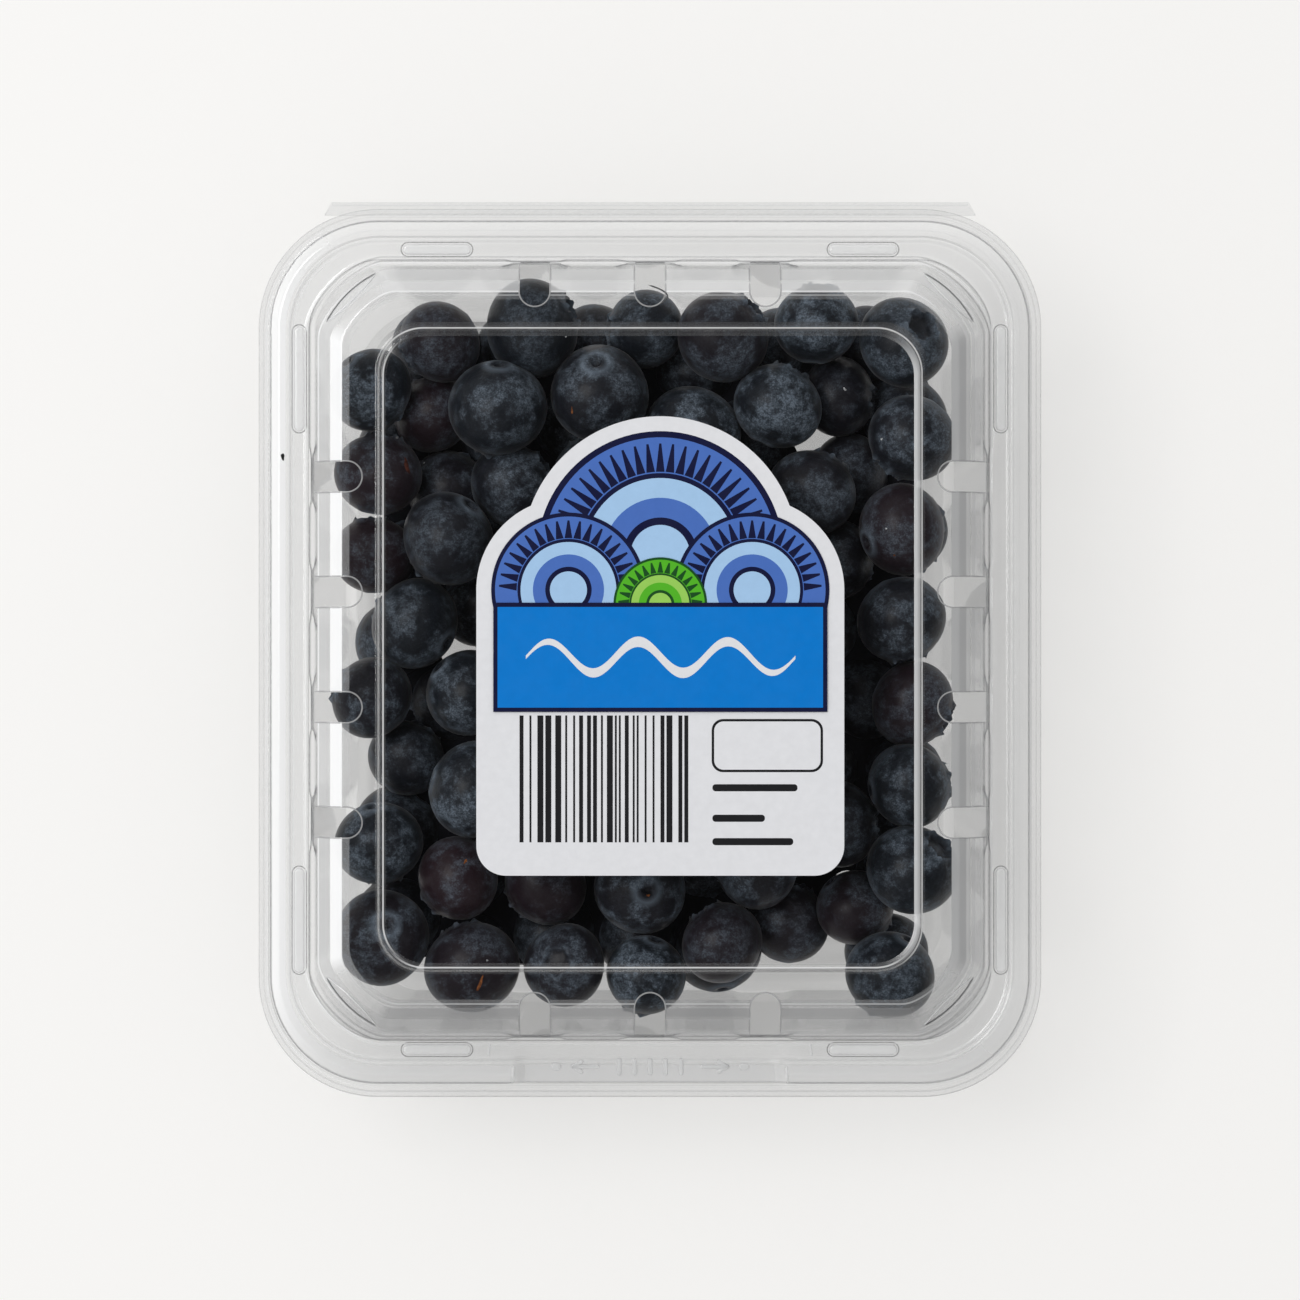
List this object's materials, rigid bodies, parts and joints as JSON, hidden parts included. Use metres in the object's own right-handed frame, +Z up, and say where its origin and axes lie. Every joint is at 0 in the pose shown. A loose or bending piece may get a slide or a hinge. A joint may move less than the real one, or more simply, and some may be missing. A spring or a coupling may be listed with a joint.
{
  "type": "punnet of blueberries",
  "caption": "Shut clear punnet with a hinged vented lid, a printed paper label on top and loose dark blue berries inside.",
  "frame": {"origin": "on the resting surface, under the middle of the rim's outline", "axes": "+Z up, +Y towards the hinge at the back, -Y towards the opening tab, +X to the right seen from the front"},
  "size_m": [0.1116, 0.1274, 0.0362],
  "materials": {
    "clear_sheet": "clear, glossy",
    "berry_skin": "dark blue skin with a pale bloom",
    "label_paper": "coated white, printed"
  },
  "bodies": {
    "base": {"base_tray": "clear_sheet", "berries": "berry_skin"},
    "lid": {"lid": "clear_sheet", "label": "label_paper"}
  },
  "joints": [
    {"name": "lid_hinge", "type": "hinge", "parent": "base", "child": "lid", "pos_m": [0, 0.06367, 0.02445], "axis": [-1, 0, 0], "range_deg": [0, 180]}
  ]
}
